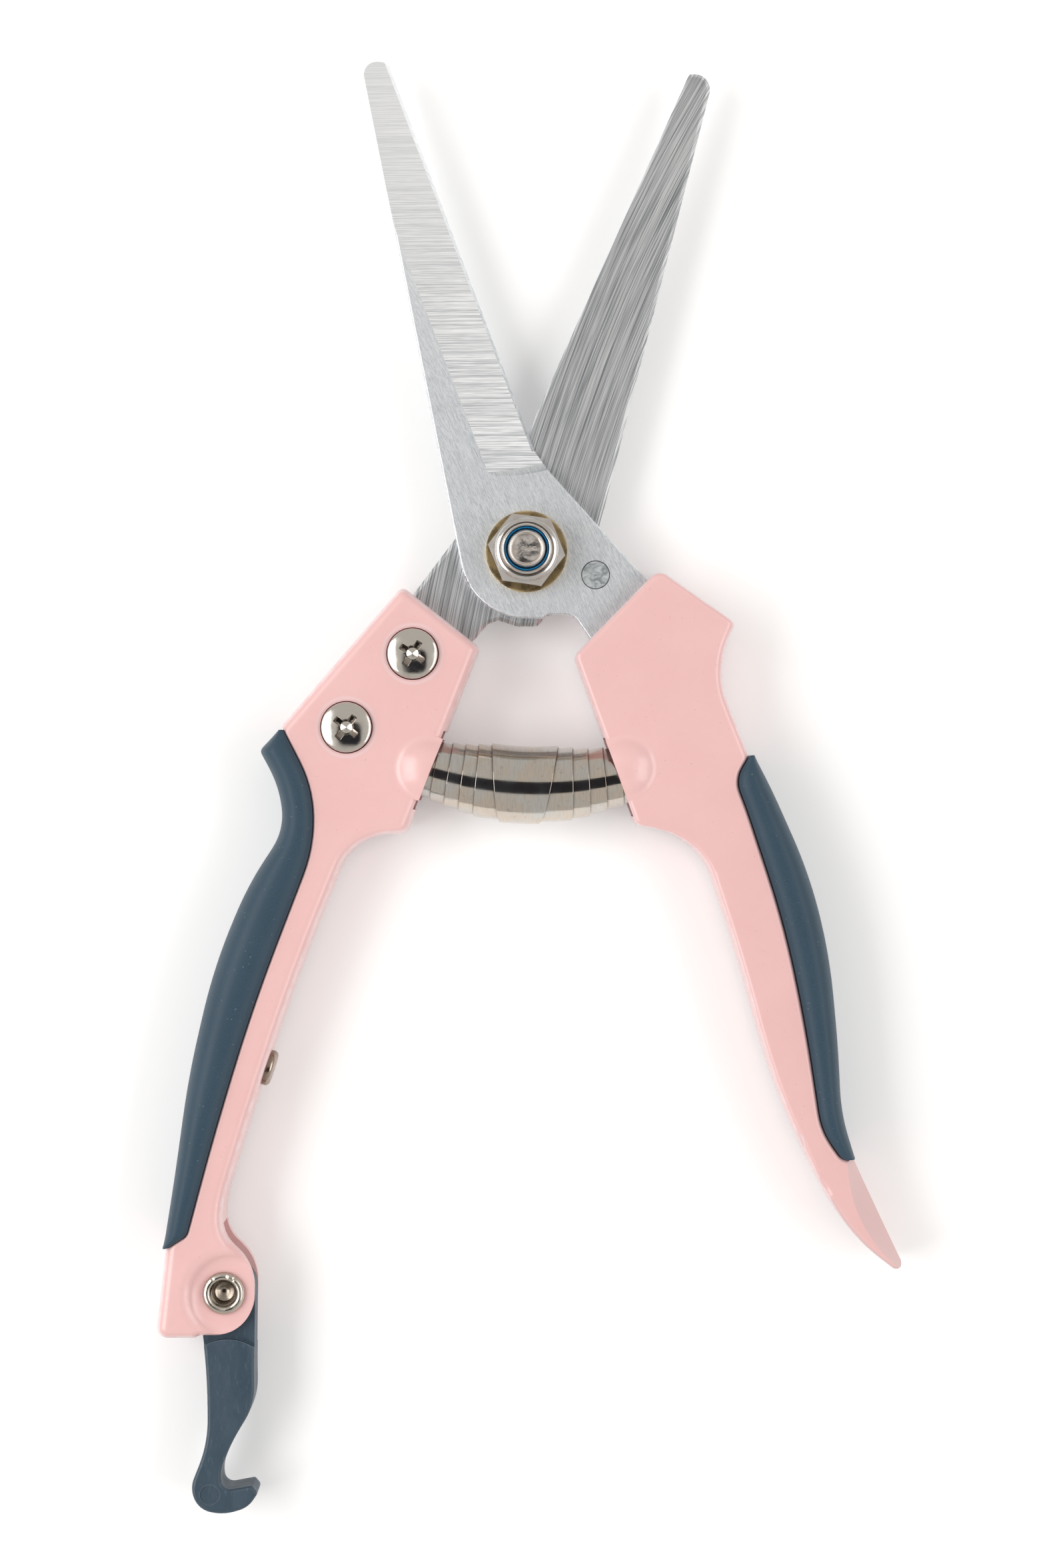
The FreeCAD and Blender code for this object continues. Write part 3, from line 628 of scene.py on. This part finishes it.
def paint_material():
    """Pale pink powder coat: orange peel, faint mottling, specks, pale rings round counterbores, painted
    highlight on sloping edges, and painted shade on the tail's facets and in hollows.
    """
    s = Shader("pink_coat", Coat_Weight=0.45, Coat_Roughness=0.16, Specular_IOR_Level=0.5)
    mottle = s.noise(0.09, detail=3)
    base = s.mix(s.steps(mottle, 0.35, 0.65), (0.790, 0.492, 0.480, 1), (0.770, 0.474, 0.462, 1))
    pale = s.steps(s.noise(3.2, detail=1), 0.70, 0.76)
    base = s.mix(s.math("MULTIPLY", pale, 0.25), base, (0.86, 0.66, 0.64, 1))
    speck = s.steps(s.noise(2.8, s.scaled(s.place, (1.1, 0.9, 1.3)), detail=1), 0.77, 0.80)
    base = s.mix(s.math("MULTIPLY", speck, 0.45), base, (0.40, 0.20, 0.19, 1))
    # Painted highlight: sloping edges and fillets turn paler, except in the ear scoop and on the tail's
    # facets.
    tilt = s.math("ABSOLUTE", s.separate(s.facing)[2])
    brow = s.math("MULTIPLY", s.steps(tilt, 0.10, 0.25), s.steps(tilt, 0.80, 0.62))
    brow = s.math("MULTIPLY", brow, s.steps(s.radius_from(SCOOP), SCOOP_R - 0.1, SCOOP_R + 0.1))
    brow = s.math("MULTIPLY", brow, s.steps(s.radius_from(TAIL), TAIL_R - 1.0, TAIL_R + 0.5))
    highlight_and_pale_rings = s.math("MULTIPLY", brow, s.steps(s.noise(0.5, detail=3), 0.35, 0.6, 0.35, 0.8))
    # Pale paint rings round the counterbores of the rear screws join the painted highlight.
    for node in ("rear_blade_screw_upper", "rear_blade_screw_lower"):
        radius = s.radius_from(node_centre(node))
        inner = s.steps(radius, SCREW_SEAT_R, SCREW_SEAT_R + 0.25)
        outer = s.steps(radius, SCREW_SEAT_R + 0.8, SCREW_SEAT_R + 0.4, 0.0, 0.45)
        highlight_and_pale_rings = s.math("MAXIMUM", highlight_and_pale_rings, s.math("MULTIPLY", inner, outer))
    base = s.mix(highlight_and_pale_rings, base, (0.80, 0.64, 0.655, 1))
    # Painted shade: the sloping facets on the right handle's tail turn greyer.
    near_tail = s.steps(s.radius_from(TAIL), TAIL_R + 0.5, TAIL_R)
    facet_shade = s.math("MULTIPLY", near_tail, s.steps(tilt, 0.93, 0.85))
    base = s.mix(s.math("MULTIPLY", facet_shade, 0.45), base, (0.58, 0.45, 0.45, 1))
    # Painted shade: pockets, slots and other hollows turn dark brown.
    pocket_shade = s.steps(s.open_sky(4.0), 0.32, 0.08)
    base = s.mix(pocket_shade, base, (0.075, 0.045, 0.040, 1))
    s.set(Base_Color=base, Roughness=s.steps(s.noise(0.8), 0.3, 0.7, 0.30, 0.40))
    s.set(Normal=s.bump(s.noise(1.8, detail=2), 0.02, 0.3))
    return s.material


def rubber_material():
    """Slate-blue soft-touch grip with a fine moulded grain."""
    s = Shader("slate_grip", Sheen_Weight=0.04, Sheen_Roughness=0.5, Specular_IOR_Level=0.32)
    tone = s.noise(0.10, detail=4)
    base = s.mix(tone, (0.020, 0.047, 0.074, 1), (0.030, 0.061, 0.090, 1))
    grain = s.noise(5.5, detail=2)
    base = s.mix(s.steps(grain, 0.35, 0.75, 0.0, 0.30), base, (0.050, 0.088, 0.122, 1))
    dust = s.steps(s.noise(2.1, detail=1), 0.73, 0.77)
    base = s.mix(s.math("MULTIPLY", dust, 0.25), base, (0.24, 0.30, 0.34, 1))
    s.set(Base_Color=base, Roughness=s.steps(grain, 0.3, 0.7, 0.46, 0.60))
    s.set(Normal=s.bump(grain, 0.03, 0.4))
    return s.material


def plastic_material():
    """Slate-blue moulded plastic of the hook: satin skin, flow marks, edges paler partly from rubbing
    and partly as a painted highlight.
    """
    s = Shader("slate_plastic", Specular_IOR_Level=0.5)
    flow = s.noise(0.35, s.scaled(s.place, (1.0, 0.35, 1.0)), detail=4, distortion=0.6)
    base = s.mix(flow, (0.027, 0.050, 0.075, 1), (0.043, 0.072, 0.101, 1))
    scuff = s.steps(s.noise(1.4, s.scaled(s.place, (3.0, 0.6, 1.0)), detail=5), 0.56, 0.72)
    base = s.mix(s.math("MULTIPLY", scuff, 0.30), base, (0.11, 0.15, 0.19, 1))
    # Edges turn paler: partly rubbed wear, partly a painted highlight.
    edge_wear_and_highlight = s.steps(s.edge(0.25), 0.99, 0.88)
    base = s.mix(s.math("MULTIPLY", edge_wear_and_highlight, 0.45), base, (0.17, 0.22, 0.27, 1))
    s.set(Base_Color=base, Roughness=s.steps(flow, 0.3, 0.7, 0.36, 0.50))
    s.set(Normal=s.bump(s.noise(3.5, detail=3), 0.02, 0.3))
    return s.material


def front_blade_material():
    """Ground steel: short fine slanted scratches on the flat, long crisp lines on the bevel."""
    s = Shader("front_blade_steel", Metallic=1.0)
    flat = s.mix_value(0.5, s.arcs(FLAT_GRIND, 8.0, 16, detail=3, roughness=0.7),
                       s.arcs(FLAT_GRIND, 20.0, 12, detail=2))
    bevel = s.mix_value(0.4, s.arcs(BEVEL_GRIND, 6.5, 160, detail=1, roughness=0.8),
                        s.arcs(BEVEL_GRIND, 18.0, 60, detail=1))
    level = s.separate(s.facing)[2]
    on_bevel = s.math("MULTIPLY", s.steps(level, 0.992, 0.984), s.steps(level, 0.94, 0.96))
    lines = s.mix_value(on_bevel, flat, bevel)
    dark = s.mix(on_bevel, (0.52, 0.55, 0.585, 1), (0.46, 0.47, 0.49, 1))
    light = s.mix(on_bevel, (0.93, 0.955, 0.98, 1), grey(0.98, -0.01))
    base = s.mix(s.steps(lines, 0.41, 0.59, smooth=False), dark, light)
    cloud = s.noise(0.12, detail=3)
    base = s.mix(s.steps(cloud, 0.35, 0.7, 0.0, 0.20), base, (0.58, 0.61, 0.64, 1))
    # Painted highlight: the steel lightens towards the tip.
    tip_highlight = s.steps(s.separate(s.place)[1], 15.0, 75.0, 0.0, 0.65)
    base = s.mix(tip_highlight, base, (0.96, 0.975, 0.985, 1))
    # Edges turn paler: partly worn bright, partly a painted highlight.
    edge_wear_and_highlight = s.steps(s.edge(0.12), 0.99, 0.86)
    base = s.mix(s.math("MULTIPLY", edge_wear_and_highlight, 0.15), base, grey(0.93))
    s.set(Base_Color=base, Roughness=s.steps(lines, 0.3, 0.7, 0.52, 0.42))
    s.set(Normal=s.bump(lines, 0.03, 0.5))
    return s.material


def rear_blade_material():
    """Coarsely ground steel with long slanted lines and strong contrast."""
    s = Shader("rear_blade_steel", Metallic=1.0)
    coarse = s.arcs(REAR_GRIND, 5.5, 190, detail=2, roughness=0.8)
    fine = s.arcs(REAR_GRIND, 16.0, 120, detail=1, roughness=0.7)
    lines = s.mix_value(0.4, coarse, fine)
    dark, light = (0.22, 0.23, 0.245, 1), (0.86, 0.875, 0.89, 1)
    base = s.mix(s.steps(lines, 0.41, 0.59, smooth=False), dark, light)
    # Edges turn paler: partly worn bright, partly a painted highlight.
    edge_wear_and_highlight = s.steps(s.edge(0.12), 0.99, 0.86)
    base = s.mix(s.math("MULTIPLY", edge_wear_and_highlight, 0.25), base, grey(0.9))
    s.set(Base_Color=base, Roughness=s.steps(lines, 0.35, 0.65, 0.50, 0.38))
    s.set(Normal=s.bump(lines, 0.03, 0.4))
    return s.material


def plated_material(name, base_color, roughness=0.12, scratches=0.3, unshaded=()):
    """Bright nickel plating with hairline scratches, a faint haze and painted shade in its recesses.

    unshaded lists plan points round which a recess keeps its bright floor, free of the painted shade.
    """
    s = Shader(name, Metallic=1.0)
    haze = s.noise(0.7, detail=4)
    hairs = s.noise(2.2, s.scaled(s.place, (1.0, 9.0, 4.0)), detail=3, distortion=0.8)
    dull = times(base_color, (0.70, 0.70, 0.70))
    base = s.mix(s.steps(hairs, 0.45, 0.75, 0.0, scratches), base_color, dull)
    stain = s.steps(s.noise(0.45, detail=5), 0.52, 0.75, 0.0, 0.35)
    base = s.mix(stain, base, times(base_color, (0.78, 0.70, 0.62)))
    # Painted shade: recesses turn brown where other surfaces stand close.
    recess_shade = s.steps(s.open_sky(2.5), 0.80, 0.50, 0.0, 0.85)
    for centre in unshaded:
        recess_shade = s.math("MULTIPLY", recess_shade, s.steps(s.radius_from(centre), 0.75, 0.95))
    base = s.mix(recess_shade, base, (0.20, 0.155, 0.115, 1))
    s.set(Base_Color=base, Roughness=s.steps(haze, 0.3, 0.7, roughness * 0.7, roughness * 1.7))
    s.set(Normal=s.bump(hairs, 0.01, 0.15))
    return s.material


def strip_material():
    """Rolled spring strip: cross-rolled streaks, faint oil and heat tint, painted shadow where the turns
    lie close.
    """
    s = Shader("spring_strip", Metallic=1.0)
    streaks = s.noise(1.6, s.scaled(s.place, (4.0, 0.35, 0.35)), detail=4, roughness=0.6)
    tint = s.noise(0.25, detail=3, distortion=0.5)
    base = s.mix(s.steps(tint, 0.35, 0.65), (0.60, 0.53, 0.45, 1), (0.57, 0.56, 0.53, 1))
    base = s.mix(s.steps(streaks, 0.4, 0.7, 0.0, 0.30), base, (0.38, 0.35, 0.33, 1))
    spots = s.steps(s.noise(1.1, detail=5), 0.60, 0.74, 0.0, 0.35)
    base = s.mix(spots, base, (0.30, 0.27, 0.25, 1))
    # Painted shadow: dark lines where the turns lie close together.
    contact_shadow = s.steps(s.open_sky(0.6), 0.86, 0.45)
    base = s.mix(contact_shadow, base, (0.07, 0.05, 0.04, 1))
    s.set(Base_Color=base, Roughness=s.steps(tint, 0.3, 0.7, 0.09, 0.16))
    s.set(Normal=s.bump(streaks, 0.015, 0.25))
    return s.material


def brass_material():
    """Turned brass washer: rings round the pivot, dark tarnish away from its rim."""
    s = Shader("washer_brass", Metallic=1.0)
    radius = s.radius_from(PIVOT)
    rings = s.noise(7.0, s.combine(radius, 0.0, 0.0), detail=2)
    tarnish = s.noise(0.6, detail=4)
    base = s.mix(rings, (0.66, 0.49, 0.25, 1), (0.52, 0.38, 0.19, 1))
    base = s.mix(s.steps(tarnish, 0.42, 0.70, 0.0, 0.40), base, (0.26, 0.19, 0.11, 1))
    rim = s.steps(radius, WASHER_R - 0.1, WASHER_R + 0.1)
    base = s.mix(rim, base, (0.90, 0.70, 0.40, 1))
    s.set(Base_Color=base, Roughness=s.steps(tarnish, 0.3, 0.7, 0.20, 0.38))
    s.set(Normal=s.bump(rings, 0.01, 0.3))
    return s.material


def nylon_material():
    """Blue nylon of the nut's locking ring."""
    s = Shader("blue_nylon", Subsurface_Weight=0.1, Subsurface_Scale=0.6 * MM)
    rub = s.noise(1.8, detail=3)
    base = s.mix(rub, (0.003, 0.130, 0.330, 1), (0.012, 0.215, 0.450, 1))
    s.set(Base_Color=base, Roughness=s.steps(rub, 0.3, 0.7, 0.24, 0.40))
    s.set(Normal=s.bump(rub, 0.03, 0.3))
    return s.material


def pin_material():
    """Smooth, mottled face of the stop pin, with the dark line of its fit in the blade."""
    s = Shader("pin_steel", Metallic=1.0)
    cloud = s.noise(0.8, detail=4, distortion=1.5)
    base = s.mix(s.steps(cloud, 0.30, 0.70), (0.50, 0.54, 0.56, 1), (0.66, 0.70, 0.71, 1))
    radius = s.radius_from(node_centre("stop_pin"))
    base = s.mix(s.steps(radius, PIN_R - 0.02, PIN_R + 0.06), base, grey(0.05))
    s.set(Base_Color=base, Roughness=s.steps(cloud, 0.3, 0.7, 0.36, 0.52))
    s.set(Normal=s.bump(cloud, 0.03, 0.35))
    return s.material


def dress(material, *names):
    """Give a material to CAD nodes in place of what they came with."""
    for name in names:
        mesh = nodes[name].data
        mesh.materials.clear()
        mesh.materials.append(material)


PAINT = paint_material()
RUBBER = rubber_material()
NICKEL = plated_material("nickel_plate", (0.62, 0.595, 0.57, 1))
SCREW_PLATE = plated_material("screw_plate", (0.62, 0.585, 0.54, 1), 0.11,
                              unshaded=[node_centre(node) for node in SCREW_TURNS])
BOLT_PLATE = plated_material("bolt_plate", (0.76, 0.71, 0.66, 1), 0.24, 0.6)
RIVET_PLATE = plated_material("rivet_plate", (0.57, 0.52, 0.46, 1), 0.20)
# A darker, browner plating for the grip screw and the hook washer.
DARK_PLATE = plated_material("dark_plate", (0.42, 0.34, 0.29, 1), 0.24, 0.5)
STRIP = strip_material()
BRASS = brass_material()

dress(PAINT, "left_handle", "right_handle")
dress(plastic_material(), "lock_hook")
dress(front_blade_material(), "front_blade")
dress(rear_blade_material(), "rear_blade")
dress(DARK_PLATE, "grip_screw", "hook_washer")
dress(BRASS, "head_washer", "pivot_washer")
dress(nylon_material(), "nut_nylon_ring")
dress(pin_material(), "stop_pin")

for side, seam_side in (("left", 1), ("right", -1)):
    grip = side + "_grip"
    show(grip + "_moulding", grip_mesh(grip, seam_side), RUBBER, "grip_rubber", side + "_half", grip)
show("pivot_nut_turned", nut_mesh(), NICKEL, "plated_steel", "left_half", "pivot_nut")
show("pivot_bolt_turned", bolt_mesh(), BOLT_PLATE, "plated_steel", "left_half", "pivot_bolt")
show("hook_rivet_rolled", rivet_mesh(), RIVET_PLATE, "plated_steel", "left_half", "hook_rivet")
blade_screws()

coil = show("spring_coil", spring_mesh(), STRIP, "spring_steel", None, "volute_spring")
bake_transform(coil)

# ---------------------------------------------------------------- stage, light and camera

FLOOR_GLOW = 0.14                   # light table under the snips
TENT = (0.66, 0.64, 0.61, 1)
STAND = (0.028, 0.028, 0.034, 1)
STAND_X, STAND_Y = 0.03, -0.185     # middle of the stand overhead, as slopes from the zenith
STAND_HALF = 0.34                   # its half width, as a slope
STAND_BLUR = 0.03
FLOOR_HALF = 2.0                    # metres
FLOOR_GAP = 0.02                    # the floor lies just clear of the faces that rest on it
EYE = (-0.6, -34.6, 457.0)          # place of the camera


def floor():
    """Pale matt table that glows faintly, so that shadows stay light."""
    mesh = bpy.data.meshes.new("floor")
    half, low = FLOOR_HALF, -FLOOR_GAP * MM
    corners = [(-half, -half, low), (half, -half, low), (half, half, low), (-half, half, low)]
    mesh.from_pydata(corners, [], [(0, 1, 2, 3)])
    plane = bpy.data.objects.new("floor", mesh)
    bpy.context.scene.collection.objects.link(plane)
    s = Shader("pale_floor", Roughness=0.7, Specular_IOR_Level=0.2)
    s.set(Base_Color=s.mix(s.noise(0.01), grey(0.90), grey(0.92)))
    s.set(Emission_Color=(0.97, 0.98, 1.0, 1), Emission_Strength=FLOOR_GLOW)
    mesh.materials.append(s.material)


def softbox(name, place, size, power):
    """Rectangular area light, in metres and watts, aimed at the floor beside the pivot."""
    light = bpy.data.lights.new(name, "AREA")
    light.shape = "RECTANGLE"
    light.size, light.size_y = size
    light.energy = power
    lamp = bpy.data.objects.new(name, light)
    bpy.context.scene.collection.objects.link(lamp)
    lamp.location = place
    aim = Vector((0, place[1] / 2, 0)) - lamp.location
    lamp.rotation_euler = aim.to_track_quat("-Z", "Y").to_euler()


def world():
    """Warm pale tent, with the dark camera and its stand overhead."""
    scene_world = bpy.data.worlds.new("tent")
    scene_world.use_nodes = True
    tree = scene_world.node_tree

    def math_node(operation, a, b=0.0):
        made = tree.nodes.new("ShaderNodeMath")
        made.operation = operation
        for socket, value in zip(made.inputs, (a, b)):
            if isinstance(value, bpy.types.NodeSocket):
                tree.links.new(value, socket)
            else:
                socket.default_value = value
        return made.outputs[0]

    place = tree.nodes.new("ShaderNodeTexCoord")
    split = tree.nodes.new("ShaderNodeSeparateXYZ")
    tree.links.new(place.outputs["Generated"], split.inputs[0])
    x, y, z = split.outputs
    up = math_node("MAXIMUM", z, 0.01)
    away = []
    for value, centre in ((x, STAND_X), (y, STAND_Y)):
        away.append(math_node("ABSOLUTE", math_node("SUBTRACT", math_node("DIVIDE", value, up), centre)))
    square = math_node("ADD", math_node("POWER", away[0], 4.0), math_node("POWER", away[1], 4.0))
    patch = tree.nodes.new("ShaderNodeMapRange")
    patch.interpolation_type = "SMOOTHSTEP"
    tree.links.new(math_node("POWER", square, 0.25), patch.inputs["Value"])
    patch.inputs["From Min"].default_value = STAND_HALF + STAND_BLUR
    patch.inputs["From Max"].default_value = STAND_HALF - STAND_BLUR
    blend = tree.nodes.new("ShaderNodeMix")
    blend.data_type = "RGBA"
    tree.links.new(patch.outputs[0], blend.inputs[0])
    blend.inputs[6].default_value = TENT
    blend.inputs[7].default_value = STAND
    background = tree.nodes["Background"]
    tree.links.new(blend.outputs[2], background.inputs[0])
    background.inputs[1].default_value = 1.0
    bpy.context.scene.world = scene_world


def camera():
    """Straight down, from 450 mm above the plane where the blades meet."""
    data = bpy.data.cameras.new("camera")
    data.sensor_width = 36.0
    data.lens = 68.9
    data.clip_start = 10 * MM
    eye = bpy.data.objects.new("camera", data)
    bpy.context.scene.collection.objects.link(eye)
    eye.location = Vector(EYE) * MM
    bpy.context.scene.camera = eye


floor()
softbox("left_box", (-0.424, -0.033, 0.424), (0.56, 0.33), 2.25)
softbox("right_box", (0.424, -0.060, 0.424), (0.56, 0.27), 1.25)
world()
camera()
bpy.context.scene.view_settings.view_transform = "Standard"
